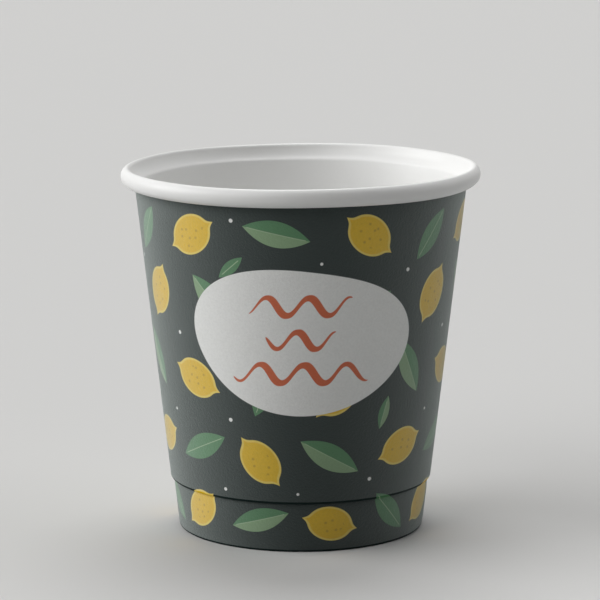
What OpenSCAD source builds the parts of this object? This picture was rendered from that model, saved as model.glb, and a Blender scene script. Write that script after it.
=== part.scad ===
// Double-wall paper cup: an inner wall with a rolled rim and a hemmed foot, a bottom disc and a wrap.
// Each board is drawn as a half section, radius across and height up, and turned about the cup's axis.
// Lengths are millimetres, the cup stands on z = 0 and its front faces -Y.

/* [Cup] */
// Outside diameter of the rolled rim
rim_d = 62; // [54:0.5:90]
// Height from the table to the top of the rim
cup_h = 63.2; // [50:0.1:110]
// Outside diameter of the inner wall's cone at the table
foot_d = 42.6; // [36:0.1:52]
// How far the rim stands out from that cone at its mouth
rim_out = 2.6; // [2:0.1:3.2]

/* [Inner wall] */
// Thickness of the inner wall's board
wall_t = 0.32; // [0.2:0.02:0.5]
// Outside diameter of the roll at the rim
roll_d = 3.4; // [2.8:0.1:4]
// Radius of the rim's top edge
edge_r = 0.6; // [0.45:0.05:0.9]
// Direction in which the roll passes into the top edge, in degrees above level
edge_a = 50; // [40:5:60]
// Radius of the hollow inside the rim
cove_r = 3.5; // [3:0.1:5]
// How far the top of the hollow leans out from upright, in degrees
cove_lean = 14; // [5:1:20]
// Inside radius of the bend from the straight wall to the hollow
bend_r = 0.4; // [0.3:0.05:0.8]
// Gap between the lip of the roll and the wrap
lip_gap = 0.2; // [0.15:0.05:0.5]
// How far the fold under the foot is pressed flat
sole_press = 0.06; // [0.02:0.01:0.1]
// Gap between the top edge of the hem and the bottom disc
hem_gap = 1.2; // [1:0.1:4]

/* [Bottom disc] */
// Thickness of the disc's board
disc_t = 0.3; // [0.2:0.02:0.5]
// Height of the disc's underside above the table
recess_h = 7; // [4:0.1:12]
// Inside radius of the bend from the disc to its skirt
disc_bend_r = 0.5; // [0.2:0.05:0.9]
// Gap on each face of the skirt inside the hem
seal_gap = 0.04; // [0.02:0.01:0.1]

/* [Wrap] */
// Thickness of the wrap's board
wrap_t = 0.28; // [0.2:0.02:0.5]
// Height at which the wrap starts to turn in
wrap_turn_z = 9.1; // [8:0.1:20]
// Inside radius of the turned-in edge
turn_r = 0.32; // [0.25:0.01:0.6]
// Gap between the turned-in edge and the inner wall
seat_gap = 0.06; // [0.04:0.01:0.09]
// Air gap between the two walls at the foot
foot_air = 0.2; // [0.16:0.01:0.4]
// Air gap between the two walls at the rim
rim_air = 0.32; // [0.2:0.01:0.6]
// How far the wrap's top edge reaches up into the roll
tuck_h = 0.24; // [0.1:0.02:0.3]

/* [Side seams] */
// Width of the overlap in each seam
lap_w = 6; // [4:0.5:10]
// Height of the step at a lapped edge, pressed down by the sealing
lap_step = 0.12; // [0.05:0.01:0.14]
// Direction of the inner wall's seam, in degrees from +X
wall_seam = 345; // [0:5:360]
// Direction of the wrap's seam, in degrees from +X
wrap_seam = 90; // [0:5:360]

/* [Hidden] */
$fn = 144;

// Angle between two points of an arc
arc_step = 10;

// Inner wall: a straight cone, bent out at the top into a hollow, over the top edge and down into the roll
foot_r = foot_d / 2;
mouth_d = rim_d - 2 * rim_out;
wall_a = atan2((mouth_d - foot_d) / 2, cup_h);
wall_in = [-cos(wall_a), sin(wall_a)];

// Roll on the outside and the rim's top edge, which touches it
roll_r = roll_d / 2;
edge_c = [rim_d / 2 - roll_r + (roll_r - edge_r) * cos(edge_a), cup_h - edge_r];
roll_c = edge_c - (roll_r - edge_r) * [cos(edge_a), sin(edge_a)];

// Hollow, which touches the top edge above and the bend below, and the bend, which touches the straight wall
cove_top_a = 180 - cove_lean;
cove_c = edge_c + (edge_r + cove_r) * [cos(cove_top_a), sin(cove_top_a)];
cove_in = (cove_c - [foot_r, 0]) * wall_in;
bend_a = acos((-bend_r - cove_in) / (cove_r + bend_r + wall_t)) - wall_a;
bend_c = cove_c - (cove_r + bend_r + wall_t) * [cos(bend_a), sin(bend_a)];
bend_low = bend_c + (bend_r + wall_t) * wall_in;

// Fold under the foot, which holds the disc's skirt in its pocket
pocket_r = disc_t / 2 + seal_gap;
fold_r = pocket_r + wall_t;
fold_z = fold_r - sole_press;
fold_c = wall_at(fold_z, fold_r);
hem_top = recess_h - hem_gap;

// Bend of the bottom disc, whose skirt lies a sealing gap inside the wall
skirt_in = wall_t + seal_gap;
disc_top = recess_h + disc_t;
disc_bend_c = wall_at(recess_h - disc_bend_r, skirt_in + disc_t + disc_bend_r);

// Wrap: its inner face runs from one air gap to the other
wrap_top = roll_c.y - roll_r + tuck_h;
wrap_foot = wall_at(wrap_turn_z, 0) + [foot_air, 0];
wrap_head = wall_at(wrap_top, 0) + [rim_air, 0];
wrap_a = atan2(wrap_head.x - wrap_foot.x, wrap_top - wrap_turn_z);
wrap_in = [-cos(wrap_a), sin(wrap_a)];
turn_c = wrap_foot + turn_r * wrap_in;
turn_out = turn_r + wrap_t;
turn_end = -acos((wall_at(turn_c.y, 0).x + seat_gap - turn_c.x) / turn_r);
turn_low = turn_c.y + turn_out * sin(turn_end);

// Lip of the roll, which stops a gap short of the wrap's outer face
roll_to_wrap = (wrap_head - roll_c) * wrap_in - wrap_t;
lip_a = acos((roll_to_wrap - lip_gap) / roll_r) - 180 - wrap_a;

// Point of the inner wall at height z, at a depth in from its outer face
function wall_at(z, depth) = [foot_r + (z * sin(wall_a) - depth) / cos(wall_a), z];

// Points along an arc about c, from one angle to the other, without the first ones that are skipped
function arc(c, r, from, to, skip = 0) =
    let (steps = ceil(abs(to - from) / arc_step))
        [for (i = [skip:steps]) let (a = from + i * (to - from) / steps) c + r * [cos(a), sin(a)]];

// Band of the inner wall between two heights and two depths in from its outer face
module wall_band(low, high, outer, inner) {
    polygon([wall_at(low, outer), wall_at(high, outer), wall_at(high, inner), wall_at(low, inner)]);
}

// Band of a side seam, centred on a direction, where the two ends of a board lap
module seam_band(direction) {
    lap_a = lap_w / foot_r * 180 / PI;
    rotate(direction - lap_a / 2)
        rotate_extrude(angle = lap_a)
            children();
}

// Section of the inner wall, from the lip down the inside to the hem and back up the outside
module wall_section() {
    difference() {
        polygon([
            each arc(roll_c, roll_r, lip_a, edge_a),
            each arc(edge_c, edge_r, edge_a, cove_top_a, skip = 1),
            each arc(cove_c, -cove_r, cove_top_a, bend_a, skip = 1),
            each arc(bend_c, bend_r + wall_t, bend_a, 180 - wall_a, skip = 1),
            each arc(fold_c, pocket_r, -wall_a, -180 - wall_a),
            wall_at(hem_top, fold_r + pocket_r),
            wall_at(hem_top, 2 * fold_r),
            each arc(fold_c, fold_r, 180 - wall_a, 360 - wall_a),
            each arc(bend_c, bend_r, 180 - wall_a, bend_a),
            each arc(cove_c, -cove_r - wall_t, bend_a, cove_top_a, skip = 1),
            each arc(edge_c, edge_r - wall_t, cove_top_a, edge_a, skip = 1),
            each arc(roll_c, roll_r - wall_t, edge_a, lip_a, skip = 1)
        ]);
        translate([0, -fold_r])
            square([foot_d, fold_r]);
    }
}

// Inner wall: the roll, the top edge, the hollow, the straight cone, the fold and the hem are one board
module inner_wall() {
    color("white")
        union() {
            rotate_extrude()
                wall_section();
            seam_band(wall_seam)
                wall_band(fold_z, turn_low - lap_step, -lap_step, wall_t / 2);
            seam_band(wall_seam)
                wall_band(disc_top + seal_gap, bend_low.y, wall_t / 2, wall_t + lap_step);
        }
}

// Bottom disc: a flat disc whose edge is bent down into a skirt
module bottom_disc() {
    color("whitesmoke")
        rotate_extrude()
            polygon([
                [0, disc_top],
                each arc(disc_bend_c, disc_bend_r + disc_t, 90, -wall_a),
                fold_c - disc_t / 2 * wall_in,
                fold_c + disc_t / 2 * wall_in,
                each arc(disc_bend_c, disc_bend_r, -wall_a, 90),
                [0, recess_h]
            ]);
}

// Wrap: a cone round the inner wall, tucked into the roll and turned in above the foot
module outer_wrap() {
    color([0.19, 0.22, 0.22])
        union() {
            rotate_extrude()
                polygon([
                    wrap_head,
                    wrap_head - wrap_t * wrap_in,
                    each arc(turn_c, turn_out, -wrap_a, turn_end),
                    each arc(turn_c, turn_r, turn_end, -wrap_a)
                ]);
            seam_band(wrap_seam)
                polygon([
                    wrap_head + lap_step * wrap_in,
                    wrap_head - (wrap_t + lap_step) * wrap_in,
                    turn_c - (turn_out + lap_step) * wrap_in,
                    turn_c - (turn_r - lap_step) * wrap_in
                ]);
        }
}

inner_wall();
bottom_disc();
outer_wrap();
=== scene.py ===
import math
from functools import reduce

import bpy
import numpy as np
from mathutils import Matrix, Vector


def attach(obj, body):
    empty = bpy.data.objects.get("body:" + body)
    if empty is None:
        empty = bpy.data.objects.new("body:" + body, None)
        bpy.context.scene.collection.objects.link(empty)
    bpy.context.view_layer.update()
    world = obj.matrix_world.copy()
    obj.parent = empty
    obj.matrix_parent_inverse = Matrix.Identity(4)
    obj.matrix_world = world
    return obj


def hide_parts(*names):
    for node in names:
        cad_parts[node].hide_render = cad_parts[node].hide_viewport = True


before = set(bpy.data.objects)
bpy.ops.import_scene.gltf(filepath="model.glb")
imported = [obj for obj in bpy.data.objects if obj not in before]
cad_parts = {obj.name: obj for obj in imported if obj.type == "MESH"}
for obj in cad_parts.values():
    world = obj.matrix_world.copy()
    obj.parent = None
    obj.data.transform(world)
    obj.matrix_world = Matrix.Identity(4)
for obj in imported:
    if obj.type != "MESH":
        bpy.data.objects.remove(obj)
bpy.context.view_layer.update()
print("frame loaded:", ", ".join(sorted(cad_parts)))

mm = 0.001  # the sizes below are millimetres, the meshes are metres

cup = {
    "rimDia": 62.0,
    "height": 63.2,
    "footDia": 42.6,  # the inner wall's cone at the table
    "rimOut": 2.6,  # from that cone's mouth out to the rim
}

wall = {
    "thick": 0.32,
    "rollDia": 3.4,
    "edgeRadius": 0.6,  # the rim's top edge
    "edgeAt": 50.0,  # where the roll passes into it, degrees above level
    "coveRadius": 3.5,  # hollow inside the rim
    "coveLean": 14.0,  # degrees from upright at its top
    "bendRadius": 0.4,  # from the straight wall to the hollow
    "lipGap": 0.2,
    "solePress": 0.06,  # how far the fold is pressed flat
    "hemGap": 1.2,  # hem's top edge below the disc
    "seamAt": 345.0,  # degrees from +X
    "seamStep": 0.12,
    "seamRise": 0.3,  # inside, the step fades in over this height above the disc
    "seamFall": 2.0,  # and out over this height below the rim's bend
    "footSeamClear": 0.2,  # on the foot, it stays this far from the table and the wrap
    "footSeamRise": 1.0,
    "footSeamFall": 0.3,
    # the rim isn't quite level or round: waves round the cup, start in radians, height of the wave
    "rimLevel": [(1, 0.0, 0.19), (5, 0.6, 0.05)],
    "rimRound": [(3, 1.9, 0.05), (8, 0.0, 0.025)],
    "rimFrom": 46.0,  # the waves grow from nothing at this height
    "rimTo": 61.0,  # to their full height at this one
    "knurls": 100,  # ridges that the sealing wheel presses into the hem
    "knurlDeep": 0.06,
    "knurlLow": 0.8,  # above the table
    "knurlRise": 0.8,
    "knurlFall": 0.6,
    "knurlClear": 0.3,  # below the hem's top edge
    "printUnder": 2.0,  # how far the foot's print runs up behind the wrap
    "columns": 400,
    "rows": {"roll": 30, "edge": 14, "cove": 12, "bend": 8, "cone": 36, "fold": 17, "hem": 6},
}

disc = {
    "thick": 0.3,
    "recess": 7.0,  # underside above the table
    "bendRadius": 0.5,
    "sealGap": 0.04,
    "dish": 0.18,  # how far the middle sags
    "columns": 240,
    "rows": {"flat": 24, "bend": 13, "skirt": 6},
}

wrap = {
    "thick": 0.28,
    "turnZ": 9.1,  # where the lower edge starts to turn in
    "turnRadius": 0.32,
    "seatGap": 0.06,
    "footAir": 0.2,
    "rimAir": 0.32,
    "tuck": 0.24,  # reach up into the roll
    "seamAt": 90.0,
    "seamStep": 0.12,
    "seamClear": 0.2,  # the step starts this far above the turned-in edge
    "seamOver": 0.4,  # and is whole this far above the turn
    "columns": 400,
    "rows": {"turn": 15, "cone": 44},
}

# overlap of a side seam, in the inner wall and in the wrap
lap = {
    "wide": 6.0,
    "shoulder": 7.2,  # soft run up to the lap on the side of the covered end
    "edgeTurn": 0.02,  # degrees to each side of a lap's edge in which its step is made
}


# smoothstep of x from 0 at low to 1 at high
def ease(low, high, x):
    t = np.clip((x - low) / (high - low), 0.0, 1.0)
    return t * t * (3.0 - 2.0 * t)


# 1 between two heights, eased up from low over rise and down to high over fall
def band(z, low, rise, high, fall):
    return ease(low, low + rise, z) * (1.0 - ease(high - fall, high, z))


# sum of waves round the cup: height * cos(count * angle + start)
def waves(angles, terms):
    return sum(height * np.cos(count * angles + start) for count, start, height in terms)


# points centre + radius * (cos a, sin a), with a in radians from one angle to the other
def arc(centre, radius, start, end, count):
    a = np.linspace(start, end, count)
    return np.asarray(centre) + radius * np.stack([np.cos(a), np.sin(a)], axis=1)


# unit vector at an angle in radians
def heading(a):
    return np.array([math.cos(a), math.sin(a)])


# points evenly spaced on the line between two points, without its ends
def between(a, b, count):
    t = np.linspace(0.0, 1.0, count + 2)[1:-1, None]
    return np.asarray(a) * (1.0 - t) + np.asarray(b) * t


# point of the inner wall at a height, at a depth in from its outer face
def wallAt(z, depth):
    return np.array([footR + (z * math.sin(wallLean) - depth) / math.cos(wallLean), z])


# the half section of the cup, radius across and height up
footR = cup["footDia"] / 2
mouthR = cup["rimDia"] / 2 - cup["rimOut"]
wallLean = math.atan2(mouthR - footR, cup["height"])
wallIn = np.array([-math.cos(wallLean), math.sin(wallLean)])

# rim: the roll outside, the top edge, the hollow inside and the bend to the straight wall,
# each touching the next
rollR, edgeR, coveR = wall["rollDia"] / 2, wall["edgeRadius"], wall["coveRadius"]
bendIn, bendOut = wall["bendRadius"] + wall["thick"], wall["bendRadius"]
edgeAngle = math.radians(wall["edgeAt"])
edgeX = cup["rimDia"] / 2 - rollR + (rollR - edgeR) * math.cos(edgeAngle)
edgeC = np.array([edgeX, cup["height"] - edgeR])
rollC = edgeC - (rollR - edgeR) * heading(edgeAngle)
coveAngle = math.pi - math.radians(wall["coveLean"])
coveC = edgeC + (edgeR + coveR) * heading(coveAngle)
coveDepth = (coveC - [footR, 0.0]) @ wallIn
bendAngle = math.acos((-bendOut - coveDepth) / (coveR + bendIn)) - wallLean
bendC = coveC - (coveR + bendIn) * heading(bendAngle)
bendZ = (bendC + bendIn * wallIn)[1]

# foot: the fold, whose pocket holds the disc's skirt, and the hem
pocketR = disc["thick"] / 2 + disc["sealGap"]
foldR = pocketR + wall["thick"]
foldC = wallAt(foldR - wall["solePress"], foldR)
hemTop = disc["recess"] - wall["hemGap"]
discTop = disc["recess"] + disc["thick"]

# wrap: its inner face from the turned-in edge to the head inside the roll
wrapTop = rollC[1] - rollR + wrap["tuck"]
wrapFoot = wallAt(wrap["turnZ"], 0.0) + [wrap["footAir"], 0.0]
wrapHead = wallAt(wrapTop, 0.0) + [wrap["rimAir"], 0.0]
wrapLean = math.atan2(*(wrapHead - wrapFoot))
wrapIn = np.array([-math.cos(wrapLean), math.sin(wrapLean)])
turnC = wrapFoot + wrap["turnRadius"] * wrapIn
turnOut = wrap["turnRadius"] + wrap["thick"]
seatX = wallAt(turnC[1], 0.0)[0] + wrap["seatGap"] - turnC[0]
turnEnd = -math.acos(seatX / wrap["turnRadius"])
turnLowZ = turnC[1] + turnOut * math.sin(turnEnd)

# lip of the roll, which stops a gap short of the wrap
rollToWrap = (wrapHead - rollC) @ wrapIn - wrap["thick"]
lipAngle = math.acos((rollToWrap - wall["lipGap"]) / rollR) - math.pi - wrapLean


# angles round the cup, with a pair of columns at each edge of a lap so that its step is sharp
def lapColumns(count, seamAt):
    half = math.degrees(lap["wide"] / footR) / 2
    slips = (-lap["edgeTurn"], lap["edgeTurn"])
    edges = [seamAt + side * half + slip for side in (-1, 1) for slip in slips]
    turns = np.concatenate([np.arange(count) * 360.0 / count, np.mod(edges, 360.0)])
    return np.radians(np.unique(np.round(turns, 6)))


# lift of one face at a lap: flat over the lap, sharp at one edge and eased away past the other
def lapLift(angles, seamAt, step, sharpSide):
    half = lap["wide"] / 2
    away = np.mod(np.degrees(angles) - seamAt + 180.0, 360.0) - 180.0
    along = np.radians(away) * footR * sharpSide
    return step * ease(-half - lap["shoulder"], -half, along) * (along < half)


# a closed loop of section points carried round the axis:
# point(i, j) = (r cos a_j, r sin a_j, z), where r and z are the loop's, moved by shiftR and shiftZ
def turned(name, loop, angles, shiftR, shiftZ, slots, materials):
    # a loop that runs clockwise is turned round, so that the faces point outwards
    if np.sum(loop[:, 0] * np.roll(loop[:, 1], -1) - np.roll(loop[:, 0], -1) * loop[:, 1]) < 0:
        loop, shiftR, shiftZ = loop[::-1], shiftR[::-1], shiftZ[::-1]
        slots = np.roll(slots[::-1], -1, axis=0)
    rows, columns = len(loop), len(angles)
    r = loop[:, :1] + shiftR
    z = np.maximum(loop[:, 1:] + shiftZ, 0.0)
    points = np.stack([r * np.cos(angles), r * np.sin(angles), z], axis=2).reshape(-1, 3) * mm
    i, j = np.meshgrid(np.arange(rows), np.arange(columns), indexing="ij")
    here, up, on = i * columns, (i + 1) % rows * columns, (j + 1) % columns
    quads = np.stack([here + j, here + on, up + on, up + j], axis=2)
    return piece(name, points, quads.reshape(-1, 4).tolist(), slots.ravel(), materials)


# a profile from the axis out and back to the axis, carried round it, with a fan at each pole:
# point(i, j) = (r_i cos a_j, r_i sin a_j, z_i)
def capped(name, profile, angles, materials):
    rows, columns = len(profile) - 2, len(angles)
    r, z = profile[1:-1, :1], profile[1:-1, 1:]
    ring = np.stack([r * np.cos(angles), r * np.sin(angles), z + 0.0 * angles], axis=2)
    poles = np.array([[0.0, 0.0, profile[0, 1]], [0.0, 0.0, profile[-1, 1]]])
    points = np.concatenate([ring.reshape(-1, 3), poles]) * mm
    i, j = np.meshgrid(np.arange(rows - 1), np.arange(columns), indexing="ij")
    here, up, on = i * columns, (i + 1) * columns, (j + 1) % columns
    quads = np.stack([here + j, up + j, up + on, here + on], axis=2)
    k = np.arange(columns)
    after = (k + 1) % columns
    first, last, lastRow = rows * columns, rows * columns + 1, (rows - 1) * columns
    top = np.stack([np.full(columns, first), k, after], axis=1)
    low = np.stack([np.full(columns, last), lastRow + after, lastRow + k], axis=1)
    faces = quads.reshape(-1, 4).tolist() + top.tolist() + low.tolist()
    return piece(name, points, faces, np.zeros(len(faces), int), materials)


cutEdge = 42.0  # degrees between two faces past which an edge is sharp


# a mesh piece from points and faces, smooth but for its cut edges
def piece(name, points, faces, slots, materials):
    mesh = bpy.data.meshes.new(name)
    mesh.from_pydata(points.tolist(), [], faces)
    for material in materials:
        mesh.materials.append(material)
    mesh.polygons.foreach_set("material_index", np.asarray(slots, np.int32))
    mesh.polygons.foreach_set("use_smooth", np.ones(len(mesh.polygons), bool))
    mesh.set_sharp_from_angle(angle=math.radians(cutEdge))
    mesh.update()
    made = bpy.data.objects.new(name, mesh)
    bpy.context.scene.collection.objects.link(made)
    print(name, len(mesh.polygons), "faces")
    return made


# one socket of a node tree: sums and products of it add Math nodes
class Ink:
    def __init__(self, tree, socket=None):
        self.tree = tree
        self.socket = socket

    def add(self, kind, settings=None, inputs=None, output=0):
        node = self.tree.nodes.new(kind)
        for key, value in (settings or {}).items():
            setattr(node, key, value)
        for key, value in (inputs or {}).items():
            if isinstance(value, Ink):
                self.tree.links.new(value.socket, node.inputs[key])
            else:
                node.inputs[key].default_value = value
        return Ink(self.tree, node.outputs[output])

    def math(self, operation, *values):
        return self.add("ShaderNodeMath", {"operation": operation}, dict(enumerate(values)))

    def __add__(self, other):
        return self.math("ADD", self, other)

    def __radd__(self, other):
        return self.math("ADD", other, self)

    def __sub__(self, other):
        return self.math("SUBTRACT", self, other)

    def __rsub__(self, other):
        return self.math("SUBTRACT", other, self)

    def __mul__(self, other):
        return self.math("MULTIPLY", self, other)

    def __rmul__(self, other):
        return self.math("MULTIPLY", other, self)

    def __truediv__(self, other):
        return self.math("DIVIDE", self, other)

    def __rtruediv__(self, other):
        return self.math("DIVIDE", other, self)

    def __pow__(self, other):
        return self.math("POWER", self, other)

    def __rpow__(self, other):
        return self.math("POWER", other, self)

    def __neg__(self):
        return self.math("MULTIPLY", self, -1.0)

    def __abs__(self):
        return self.math("ABSOLUTE", self)


# the field of two shapes together
def least(a, b):
    return a.math("MINIMUM", a, b)


# the field of what two shapes share
def most(a, b):
    return a.math("MAXIMUM", a, b)


inkSoft = 0.07  # width over which a printed edge passes from ink to ground


# 1 inside a shape whose field is below zero, with an edge as soft as the ink's
def inside(field, soft=inkSoft):
    clamped = {"operation": "MULTIPLY_ADD", "use_clamp": True}
    return field.add("ShaderNodeMath", clamped, {0: field, 1: -1.0 / soft, 2: 0.5})


# colour a with so much of colour b over it
def mixed(amount, a, b, blend="MIX"):
    tree = next(x for x in (amount, a, b) if isinstance(x, Ink))
    kind = {"data_type": "RGBA", "blend_type": blend}
    return tree.add("ShaderNodeMix", kind, {0: amount, 6: a, 7: b}, output=2)


def shade(red, green, blue):
    return (red, green, blue, 1.0)


# an empty material: its tree as an Ink, and its Principled shader
def newMaterial(name):
    material = bpy.data.materials.new(name)
    material.use_nodes = True
    tree = material.node_tree
    return material, Ink(tree), tree.nodes["Principled BSDF"]


noiseMid = 0.5  # the middle of a noise's values


def noise(tree, coords, scale, detail=2.0, rough=0.5):
    inputs = {"Vector": coords, "Scale": scale, "Detail": detail, "Roughness": rough}
    return tree.add("ShaderNodeTexNoise", None, inputs)


def feed(shader, key, ink):
    ink.tree.links.new(ink.socket, shader.inputs[key])


board = {
    "white": shade(0.92, 0.92, 0.91),
    "whiteLow": shade(0.885, 0.885, 0.87),
    "roughness": 0.4,
    "bottomRoughness": 0.55,
    "fibre": 2600.0,  # fibres to the metre
    "fibreDetail": 3.0,
    "fibreRough": 0.6,
    "grain": 9000.0,
    "cloud": 140.0,
    "mottle": 0.5,  # the fibres' share of the mottle, the rest being the clouds'
    "fibreGloss": 0.12,  # how far the roughness varies
    "fibreShare": 0.7,  # the fibres' share of the relief, the rest being the grain's
    "bump": 0.16,
    "relief": 0.00004,  # metres
}


# fibres and grain of a board, and the coordinates that they lie on
def boardNoise(tree):
    coords = tree.add("ShaderNodeTexCoord", output="Object")
    fibre = noise(tree, coords, board["fibre"], board["fibreDetail"], board["fibreRough"])
    return coords, fibre, noise(tree, coords, board["grain"])


# relief of fibres and grain, in the shares of the finish
def feedRelief(shader, fibre, grain, finish):
    relief = fibre * finish["fibreShare"] + grain * (1.0 - finish["fibreShare"])
    inputs = {"Strength": finish["bump"], "Distance": finish["relief"], "Height": relief}
    feed(shader, "Normal", relief.add("ShaderNodeBump", None, inputs))


# coated white board: faint fibre mottle in colour, gloss and relief
def makeWhiteBoard(name, roughness):
    material, tree, shader = newMaterial(name)
    coords, fibre, grain = boardNoise(tree)
    cloud = noise(tree, coords, board["cloud"])
    mottle = fibre * board["mottle"] + cloud * (1.0 - board["mottle"])
    feed(shader, "Base Color", mixed(mottle, board["whiteLow"], board["white"]))
    feed(shader, "Roughness", roughness + (fibre - noiseMid) * board["fibreGloss"])
    feedRelief(shader, fibre, grain, board)
    return material


printed = {
    "repeats": 3,  # the pattern's repeats round the cup
    "ground": shade(0.004, 0.013, 0.012),
    "yellow": shade(0.82, 0.52, 0.006),
    "yellowEdge": shade(0.88, 0.66, 0.13),
    "pore": shade(0.62, 0.36, 0.006),
    "leafDeep": shade(0.085, 0.235, 0.10),
    "leafPale": shade(0.25, 0.39, 0.21),
    "rib": shade(0.36, 0.50, 0.31),
    "white": shade(0.90, 0.90, 0.88),
    "orange": shade(0.66, 0.125, 0.035),
    "ribHalf": 0.07,  # half width of a leaf's rib
    "ribShort": 0.5,  # how far it stays inside the leaf
    "bodyShare": 0.8,  # length of a lemon's body to the whole
    "tipShare": 0.44,  # width of its tips to the whole
    "tipBlend": 0.9,  # how softly the two are joined
    "rind": 0.3,  # width of its pale edge
    "rindSoft": 0.16,
    "poreRate": 0.62,  # pores to the millimetre
    "poreScatter": 0.8,
    "poreSize": 0.14,  # as a share of their spacing
    "poreSoft": 0.12,
    "poreMargin": 1.0,  # bare width inside a lemon's edge
    # along one repeat from 0 to 1, height, tilt in degrees, half length, half width
    "lemons": [
        (0.16, 54.5, 28.0, 5.4, 3.3),
        (0.70, 55.0, -38.0, 5.3, 3.2),
        (0.97, 43.5, 64.0, 5.4, 3.3),
        (0.44, 41.0, 12.0, 5.4, 3.3),
        (0.13, 29.5, -22.0, 5.3, 3.2),
        (0.62, 28.0, 48.0, 5.3, 3.2),
        (0.88, 17.5, 20.0, 5.2, 3.1),
        (0.36, 16.0, -52.0, 5.2, 3.1),
        (0.08, 6.0, 40.0, 5.0, 3.0),
        (0.61, 5.0, -14.0, 5.0, 3.0),
    ],
    # the same, then 1 where one half of the leaf is pale and 0 where neither is
    "leaves": [
        (0.43, 55.5, -12.0, 5.7, 2.2, 1),
        (0.93, 54.0, 52.0, 5.1, 2.0, 0),
        (0.22, 43.5, -48.0, 5.5, 2.2, 1),
        (0.70, 42.5, 30.0, 5.3, 2.1, 0),
        (0.885, 31.5, -62.0, 5.5, 2.1, 1),
        (0.385, 29.0, 70.0, 5.3, 2.1, 0),
        (0.60, 17.0, -30.0, 5.7, 2.2, 1),
        (0.13, 17.5, 24.0, 5.5, 2.1, 0),
        (0.345, 5.5, 16.0, 5.3, 2.0, 1),
        (0.86, 6.0, -46.0, 5.1, 2.0, 0),
        (0.29, 49.5, 40.0, 2.9, 1.0, 0),
        (0.79, 24.0, 76.0, 2.9, 1.0, 1),
    ],
    # along one repeat, height, radius
    "dots": [
        (0.30, 57.5, 0.34),
        (0.56, 50.5, 0.26),
        (0.84, 48.5, 0.34),
        (0.07, 37.0, 0.34),
        (0.56, 35.0, 0.28),
        (0.26, 23.0, 0.34),
        (0.75, 12.5, 0.34),
        (0.49, 10.5, 0.24),
        (0.00, 23.0, 0.26),
        (0.22, 10.5, 0.30),
    ],
}

panel = {
    "height": 37.3,
    "halfWide": 18.6,
    "halfTall": 13.0,
    # waves of the outline round its middle, start in radians, share of the radius
    "waves": [(2.0, 0.7, 0.05), (3.0, -1.1, 0.045)],
    # height of a stroke's middle, half length, wave height, waves to the millimetre, start, half thickness
    "strokes": [
        (43.2, 8.6, 1.50, 0.145, 0.4, 0.74),
        (37.4, 5.8, 1.45, 0.155, 2.2, 0.70),
        (31.6, 11.4, 1.55, 0.140, 1.2, 0.76),
    ],
    "strokeSwell": 0.28,  # how far a stroke's thickness varies
    "strokeSoft": 0.1,
}

varnish = {
    "roughness": 0.5,
    "grainGloss": 0.2,  # how far the roughness varies with the grain
    "fibreGloss": 0.1,  # and with the fibres
    "mottle": 0.2,  # how far the colour varies
    "specular": 0.08,
    "sheen": 1.0,
    "foldSheen": 0.0,
    "sheenRoughness": 0.58,
    "sheenTint": shade(0.92, 1.0, 0.97),
    "fibreShare": 0.6,
    "bump": 0.9,
    "relief": 0.0001,  # metres
}


# a point seen from a motif's middle, the surface laid flat: arc length across and height up, then tilted
def placed(turn, height, arcPerTurn, at, level, tilt=None):
    offset = turn.math("WRAP", turn - at, 0.5, -0.5)
    across = offset * arcPerTurn
    up = height - level
    if tilt is None:
        return across, up
    c, s = math.cos(math.radians(tilt)), math.sin(math.radians(tilt))
    return across * c + up * s, up * c - across * s


# a leaf between two parabolas: |y| + (w / l^2) x^2 - w
def leafField(x, y, half, wide):
    return abs(y) + x * x * (wide / half**2) - wide


# a lemon: an ellipse for the body joined softly to a leaf-shaped pair of tips
def lemonField(x, y, half, wide):
    long = printed["bodyShare"] * half
    body = x * x * (wide / (2 * long**2)) + y * y * (0.5 / wide) - wide / 2
    tips = leafField(x, y, half, printed["tipShare"] * wide)
    return x.math("SMOOTH_MIN", body, tips, printed["tipBlend"])


# a stroke along a sine wave, thick on its falls and thin on its rises, tapered to its ends
def strokeField(x, y, half, wave, rate, start, thick):
    turnRate = rate * 2 * math.pi
    phase = x * turnRate + start
    slope = x.math("COSINE", phase)
    off = abs(y - x.math("SINE", phase) * wave)
    steep = 1.0 + slope * slope * (wave * turnRate) ** 2
    taper = most(1.0 - x * x * (1.0 / half**2), 0.0) ** 0.5
    halfThick = (1.0 - panel["strokeSwell"] - slope * panel["strokeSwell"]) * thick * taper
    return most(off / steep**0.5 - halfThick, abs(x) - half)


# where a point of the cone lies: angle from the front, growing to the right, height and radius
def conePlace(tree, coords):
    x, y, z = [tree.add("ShaderNodeSeparateXYZ", None, {0: coords}, output=k) for k in range(3)]
    height = z * (1.0 / mm)
    return tree.math("ARCTAN2", x, -y), height, height * math.tan(wrapLean) + footR


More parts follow.
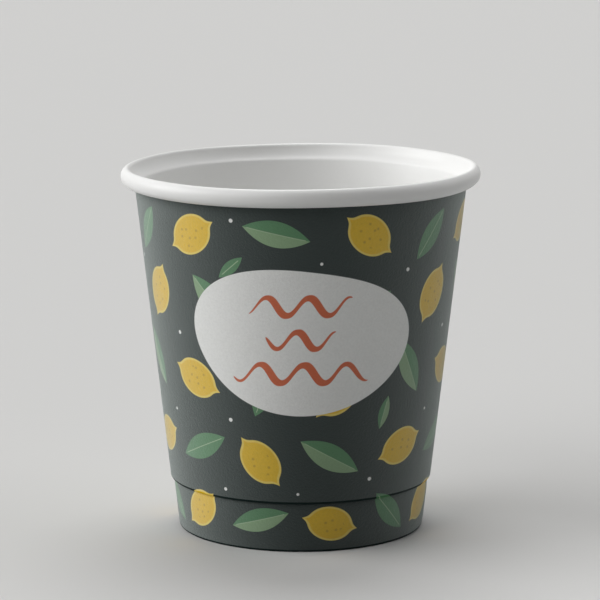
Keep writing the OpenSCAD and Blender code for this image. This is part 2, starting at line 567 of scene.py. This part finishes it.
# dark ground with leaves, lemons and dots
def fruitColour(tree, angle, height, radius):
    turn = angle * (printed["repeats"] / (2 * math.pi)) + 0.5
    arcPerTurn = radius * (2 * math.pi / printed["repeats"])
    leaves, pales, ribs, lemons, dots = [], [], [], [], []
    for at, level, tilt, half, wide, isPale in printed["leaves"]:
        x, y = placed(turn, height, arcPerTurn, at, level, tilt)
        field = leafField(x, y, half, wide)
        leaves.append(field)
        if isPale:
            pales.append(most(field, y))
        ribs.append(most(field + printed["ribShort"], abs(y) - printed["ribHalf"]))
    for at, level, tilt, half, wide in printed["lemons"]:
        x, y = placed(turn, height, arcPerTurn, at, level, tilt)
        lemons.append(lemonField(x, y, half, wide))
    for at, level, size in printed["dots"]:
        x, y = placed(turn, height, arcPerTurn, at, level)
        dots.append((x * x + y * y) ** 0.5 - size)

    colour = mixed(inside(reduce(least, leaves)), printed["ground"], printed["leafDeep"])
    colour = mixed(inside(reduce(least, pales)), colour, printed["leafPale"])
    colour = mixed(inside(reduce(least, ribs)), colour, printed["rib"])
    lemon = reduce(least, lemons)
    colour = mixed(inside(lemon), colour, printed["yellowEdge"])
    colour = mixed(inside(lemon + printed["rind"], printed["rindSoft"]), colour, printed["yellow"])
    flat = tree.add("ShaderNodeCombineXYZ", None, {0: angle * radius, 1: height})
    cells = {"Vector": flat, "Scale": printed["poreRate"], "Randomness": printed["poreScatter"]}
    pores = tree.add("ShaderNodeTexVoronoi", {"voronoi_dimensions": "2D"}, cells)
    pore = most(lemon + printed["poreMargin"], pores - printed["poreSize"])
    colour = mixed(inside(pore, printed["poreSoft"]), colour, printed["pore"])
    return mixed(inside(reduce(least, dots)), colour, printed["white"])


# panel with its strokes, over a colour: an oval whose radius swells by low waves of its own angle
def panelColour(tree, across, height, colour):
    px = across * (1.0 / panel["halfWide"])
    py = (height - panel["height"]) * (1.0 / panel["halfTall"])
    way = tree.math("ARCTAN2", py, px)
    reach = 1.0
    for count, start, swell in panel["waves"]:
        reach = reach + tree.math("COSINE", way * count + start) * swell
    blank = ((px * px + py * py) ** 0.5 - reach) * panel["halfTall"]
    colour = mixed(inside(blank), colour, printed["white"])
    strokes = [strokeField(across, height - level, *shape) for level, *shape in panel["strokes"]]
    return mixed(inside(reduce(least, strokes), panel["strokeSoft"]), colour, printed["orange"])


# dark printed board under a satin varnish, whose haze is lost where the board is folded
def makePrintedBoard(name, haze):
    material, tree, shader = newMaterial(name)
    coords, fibre, grain = boardNoise(tree)
    angle, height, radius = conePlace(tree, coords)
    colour = fruitColour(tree, angle, height, radius)
    colour = panelColour(tree, angle * radius, height, colour)
    tone = 1.0 - varnish["mottle"] / 2 + fibre * varnish["mottle"]
    tint = tree.add("ShaderNodeCombineXYZ", None, {0: tone, 1: tone, 2: tone})
    feed(shader, "Base Color", mixed(1.0, colour, tint, "MULTIPLY"))
    roughness = varnish["roughness"] + (grain - noiseMid) * varnish["grainGloss"]
    feed(shader, "Roughness", roughness + (fibre - noiseMid) * varnish["fibreGloss"])
    feedRelief(shader, fibre, grain, varnish)
    shader.inputs["Specular IOR Level"].default_value = varnish["specular"]
    shader.inputs["Sheen Weight"].default_value = haze
    shader.inputs["Sheen Roughness"].default_value = varnish["sheenRoughness"]
    shader.inputs["Sheen Tint"].default_value = varnish["sheenTint"]
    return material


whiteBoard = makeWhiteBoard("coatedWhiteBoard", board["roughness"])
bottomBoard = makeWhiteBoard("bottomBoard", board["bottomRoughness"])
printedBoard = makePrintedBoard("printedBoard", varnish["sheen"])
printedFold = makePrintedBoard("printedFold", varnish["foldSheen"])
print("materials made")


# section of the inner wall as a closed loop, and which of its points are on the outer face
def wallLoop():
    rows = wall["rows"]
    faces = []
    # the drink's face, then the outer one, a board's thickness away
    for offset, bendSide, foldSide, hemDepth in (
        (0.0, bendIn, pocketR, foldR + pocketR),
        (wall["thick"], bendOut, foldR, 2 * foldR),
    ):
        roll = arc(rollC, rollR - offset, lipAngle, edgeAngle, rows["roll"])
        edge = arc(edgeC, edgeR - offset, edgeAngle, coveAngle, rows["edge"])[1:]
        cove = arc(coveC, -coveR - offset, coveAngle, bendAngle, rows["cove"])[1:]
        bend = arc(bendC, bendSide, bendAngle, math.pi - wallLean, rows["bend"])[1:]
        fold = arc(foldC, foldSide, -wallLean, -math.pi - wallLean, rows["fold"])
        end = wallAt(hemTop, hemDepth)
        cone = between(bend[-1], fold[0], rows["cone"])
        hem = between(fold[-1], end, rows["hem"])
        faces.append(np.vstack([roll, edge, cove, bend, cone, fold, hem, end]))
    inner, outer = faces
    loop = np.vstack([inner, outer[::-1]])
    return loop, np.arange(len(loop)) >= len(inner)


# inner wall: lip, roll, top edge, hollow, cone, fold and hem as one board
def makeInnerWall():
    loop, isOuter = wallLoop()
    angles = lapColumns(wall["columns"], wall["seamAt"])
    z = loop[:, 1:]
    straightTol = 0.001  # how far a step along the cone may leave its slope
    stepR, stepZ = np.gradient(loop[:, 0]), np.gradient(loop[:, 1])
    onCone = np.abs(stepR * math.cos(wallLean) - stepZ * math.sin(wallLean)) < straightTol

    # the rim isn't quite level or round
    rim = ease(wall["rimFrom"], wall["rimTo"], z)
    shiftZ = rim * waves(angles, wall["rimLevel"])
    shiftR = rim * waves(angles, wall["rimRound"])

    # the lap shows on the inside above the disc, and on the outside of the foot
    above = band(z, discTop, wall["seamRise"], bendZ, wall["seamFall"])
    isInnerCone = (~isOuter & onCone)[:, None]
    shiftR -= isInnerCone * above * lapLift(angles, wall["seamAt"], wall["seamStep"], -1)
    clear = wall["footSeamClear"]
    lowFoot = band(z, clear, wall["footSeamRise"], turnLowZ - clear, wall["footSeamFall"])
    isOuterCone = (isOuter & onCone)[:, None]
    shiftR += isOuterCone * lowFoot * lapLift(angles, wall["seamAt"], wall["seamStep"], 1)

    # ridges on the hem's open face: half a sine wave each, faded out at the hem's edges
    inFromFold = (loop - foldC) @ wallIn
    onHem = (isOuter & (inFromFold > pocketR) & (loop[:, 1] < discTop))[:, None]
    ridge = wall["knurlDeep"] * np.maximum(np.cos(wall["knurls"] * angles), 0.0)
    hemHigh = hemTop - wall["knurlClear"]
    shiftR -= onHem * ridge * band(z, wall["knurlLow"], wall["knurlRise"], hemHigh, wall["knurlFall"])

    # white but for the foot's outside, whose lowest rows are the fold
    isPrint = isOuter & (loop[:, 1] < wrap["turnZ"] + wall["printUnder"]) & (inFromFold <= 0.0)
    isFold = isPrint & (loop[:, 1] < foldC[1])
    slots = (isPrint & np.roll(isPrint, -1)).astype(int) + (isFold & np.roll(isFold, -1))
    slots = np.repeat(slots[:, None], len(angles), axis=1)
    materials = [whiteBoard, printedBoard, printedFold]
    return turned("inner_wall_board", loop, angles, shiftR, shiftZ, slots, materials)


# bottom: a slightly dished disc with its edge bent down into a skirt
def makeBottomDisc():
    rows = disc["rows"]
    thick, bend = disc["thick"], disc["bendRadius"]
    skirtDepth = wall["thick"] + disc["sealGap"]
    centre = wallAt(disc["recess"] - bend, skirtDepth + thick + bend)
    over = arc(centre, bend + thick, math.pi / 2, -wallLean, rows["bend"])
    under = arc(centre, bend, -wallLean, math.pi / 2, rows["bend"])
    topPole, lowPole = [0.0, discTop], [0.0, disc["recess"]]
    top = np.vstack([topPole, between(topPole, over[0], rows["flat"])])
    low = np.vstack([between(under[-1], lowPole, rows["flat"]), lowPole])
    for face in (top, low):
        face[:, 1] -= disc["dish"] * (1.0 - ease(0.0, over[0][0], face[:, 0]))
    lowOut, lowIn = foldC - thick / 2 * wallIn, foldC + thick / 2 * wallIn
    skirtOut = between(over[-1], lowOut, rows["skirt"])
    skirtIn = between(lowIn, under[0], rows["skirt"])
    profile = np.vstack([top, over, skirtOut, lowOut, lowIn, skirtIn, under, low])
    angles = np.arange(disc["columns"]) * 2 * math.pi / disc["columns"]
    return capped("bottom_disc_board", profile, angles, [bottomBoard])


# wrap: a cone tucked into the roll, with its lower edge turned in and its ends lapped
def makeOuterWrap():
    rows = wrap["rows"]
    outer = arc(turnC, turnOut, turnEnd, -wrapLean, rows["turn"])
    inner = arc(turnC, wrap["turnRadius"], turnEnd, -wrapLean, rows["turn"])
    headOut = wrapHead - wrap["thick"] * wrapIn
    outer = np.vstack([outer, between(outer[-1], headOut, rows["cone"]), headOut])
    inner = np.vstack([inner, between(inner[-1], wrapHead, rows["cone"]), wrapHead])
    loop = np.vstack([outer, inner[::-1]])
    isOuter = np.arange(len(loop)) < len(outer)

    angles = lapColumns(wrap["columns"], wrap["seamAt"])
    run = ease(turnLowZ + wrap["seamClear"], wrap["turnZ"] + wrap["seamOver"], loop[:, 1:])
    lift = lapLift(angles, wrap["seamAt"], wrap["seamStep"], 1)
    press = lapLift(angles, wrap["seamAt"], wrap["seamStep"], -1)
    shiftR = run * (isOuter[:, None] * lift - ~isOuter[:, None] * press)
    isPrint = (isOuter & np.roll(isOuter, -1))[:, None]
    isCut = np.abs(np.roll(lift, -1) - lift) > wrap["seamStep"] / 2  # the lap's raw edge
    isFold = (np.arange(len(loop)) < rows["turn"] - 1)[:, None]
    slots = np.where(isPrint & ~isCut, np.where(isFold, 2, 0), 1)
    materials = [printedBoard, whiteBoard, printedFold]
    return turned("outer_wrap_board", loop, angles, shiftR, np.zeros_like(shiftR), slots, materials)


for made, node, slotName in (
    (makeInnerWall(), "inner_wall", "white_board"),
    (makeBottomDisc(), "bottom_disc", "bottom_board"),
    (makeOuterWrap(), "outer_wrap", "printed_wrap"),
):
    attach(made, "root")
    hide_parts(node)
print("pieces made")

studio = {
    "floor": shade(0.70, 0.697, 0.687),
    "floorBounce": shade(0.42, 0.42, 0.415),  # what the floor throws back on the cup
    "floorSize": 12.0,  # metres
    "floorRoughness": 0.9,
    "floorSpecular": 0.1,
    "backdrop": shade(0.63, 0.625, 0.615),
    "fill": shade(0.01, 0.01, 0.01),
    # from where it shines: degrees left of the front, degrees up, then strength and the lamp's apparent size
    "lamps": {
        "sideSoftbox": (92.0, 21.0, 1.9, 44.0),
        "frontFill": (50.0, 35.0, 0.75, 44.0),
        "rightFill": (-100.0, 28.0, 0.59, 60.0),
        "backTop": (180.0, 64.0, 1.5, 40.0),
    },
}


# 1 for a ray that shows what it meets: the camera's, or one mirrored or let through on the way
def seenRay(tree):
    kinds = ("Camera", "Glossy", "Transmission")
    return reduce(most, [tree.add("ShaderNodeLightPath", output=f"Is {kind} Ray") for kind in kinds])


# pale floor under the cup
def makeFloor():
    corners = np.array([[-1, -1, 0], [1, -1, 0], [1, 1, 0], [-1, 1, 0]]) * studio["floorSize"] / 2
    mesh = bpy.data.meshes.new("floor")
    mesh.from_pydata(corners.tolist(), [], [[0, 1, 2, 3]])
    material, tree, shader = newMaterial("floorPaper")
    feed(shader, "Base Color", mixed(seenRay(tree), studio["floorBounce"], studio["floor"]))
    shader.inputs["Roughness"].default_value = studio["floorRoughness"]
    shader.inputs["Specular IOR Level"].default_value = studio["floorSpecular"]
    mesh.materials.append(material)
    floor = bpy.data.objects.new("floor", mesh)
    bpy.context.scene.collection.objects.link(floor)


# a soft key lamp at the left, fills from the front and the right, and one behind for the rim
def makeLamps():
    for name, (around, up, strength, size) in studio["lamps"].items():
        lamp = bpy.data.lights.new(name, "SUN")
        lamp.energy = strength
        lamp.angle = math.radians(size)
        holder = bpy.data.objects.new(name, lamp)
        side, rise = math.radians(around), math.radians(up)
        level = math.cos(rise)
        toLamp = Vector((-math.sin(side) * level, -math.cos(side) * level, math.sin(rise)))
        holder.rotation_euler = toLamp.to_track_quat("Z", "Y").to_euler()
        bpy.context.scene.collection.objects.link(holder)


# backdrop for the rays that show it, and a faint fill for the rest
def makeBackdrop():
    world = bpy.data.worlds.new("studio")
    bpy.context.scene.world = world
    world.use_nodes = True
    background = world.node_tree.nodes["Background"]
    feed(background, "Color", mixed(seenRay(Ink(world.node_tree)), studio["fill"], studio["backdrop"]))
    background.inputs["Strength"].default_value = 1.0


camera = {
    "place": (-0.000123, -0.504628, 0.131342),  # metres
    "pitch": 79.69,  # degrees, where 90 looks level
    "lens": 176.862,
    "sensor": 36.0,
    "clip": (0.01, 50.0),  # metres
}


# camera in front of the cup, a little above its rim
def makeCamera():
    data = bpy.data.cameras.new("camera")
    data.lens, data.sensor_width = camera["lens"], camera["sensor"]
    data.clip_start, data.clip_end = camera["clip"]
    holder = bpy.data.objects.new("camera", data)
    holder.location = camera["place"]
    holder.rotation_euler = (math.radians(camera["pitch"]), 0.0, 0.0)
    bpy.context.scene.collection.objects.link(holder)
    bpy.context.scene.camera = holder


makeFloor()
makeLamps()
makeBackdrop()
makeCamera()
bpy.context.scene.view_settings.view_transform = "Standard"
print("studio and camera set")

bpy.context.view_layer.update()
